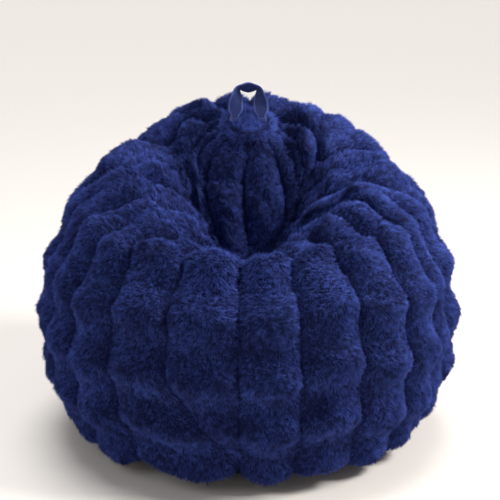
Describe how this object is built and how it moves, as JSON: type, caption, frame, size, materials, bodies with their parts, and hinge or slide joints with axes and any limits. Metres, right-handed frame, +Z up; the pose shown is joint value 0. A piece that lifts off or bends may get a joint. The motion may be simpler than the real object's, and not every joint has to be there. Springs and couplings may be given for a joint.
{
  "type": "bean bag chair",
  "caption": "Round bean bag chair with a ribbed long-pile plush cover, a sunken seat, a raised back, a lined foam filling, a base zip and a carrying loop.",
  "frame": {"origin": "centre of the base, on the floor, under the middle of the chair's bounding box", "axes": "+Z up, -Y towards the sitter's front (the open side of the seat), +X to the right seen from the front"},
  "size_m": [0.9585, 0.9424, 0.7631],
  "materials": {
    "plush": "matte",
    "strap": "satin",
    "base_cloth": "matte",
    "liner_cloth": "matte",
    "foam": "matte",
    "zip_tape": "matte",
    "zip_teeth": "satin",
    "zip_metal": "satin"
  },
  "bodies": {
    "bag": {"plush_gore_front_right": "plush", "plush_gore_right": "plush", "plush_gore_back_right": "plush", "plush_gore_back_left": "plush", "plush_gore_left": "plush", "plush_gore_front_left": "plush", "plush_crown_patch": "plush", "handle_tail_left": "strap", "handle_tail_right": "strap", "base_panel_front": "base_cloth", "base_panel_back": "base_cloth", "cover_zip_tape_front": "zip_tape", "cover_zip_tape_back": "zip_tape", "cover_zip_teeth_front": "zip_teeth", "cover_zip_teeth_back": "zip_teeth", "cover_zip_stop_open": "zip_metal", "cover_zip_stop_closed": "zip_metal", "liner_side_right": "liner_cloth", "liner_side_back": "liner_cloth", "liner_side_left": "liner_cloth", "liner_base_front": "liner_cloth", "liner_base_back": "liner_cloth", "liner_zip_tape_front": "zip_tape", "liner_zip_tape_back": "zip_tape", "liner_zip_teeth_front": "zip_teeth", "liner_zip_teeth_back": "zip_teeth", "liner_zip_stop_open": "zip_metal", "liner_zip_stop_closed": "zip_metal", "foam_filling": "foam"},
    "handle": {"handle_strap": "strap"},
    "cover_slider": {"cover_zip_slider": "zip_metal"},
    "cover_pull": {"cover_zip_pull": "zip_metal"},
    "liner_slider": {"liner_zip_slider": "zip_metal"}
  },
  "joints": [
    {"name": "handle_flop", "type": "hinge", "parent": "bag", "child": "handle", "pos_m": [0, 0.15555, 0.67875], "axis": [1, 0, 0], "range_deg": [-25, 65], "stiffness_Nm_per_rad": 0.02},
    {"name": "cover_zip_slide", "type": "slide", "parent": "bag", "child": "cover_slider", "axis": [1, 0, 0], "range_m": [-0.48, 0]},
    {"name": "cover_pull_swing", "type": "hinge", "parent": "cover_slider", "child": "cover_pull", "pos_m": [0.24, 0, 0.0036], "axis": [0, 1, 0], "range_deg": [0, 175]},
    {"name": "liner_zip_slide", "type": "slide", "parent": "bag", "child": "liner_slider", "axis": [1, 0, 0], "range_m": [-0.34, 0]}
  ]
}
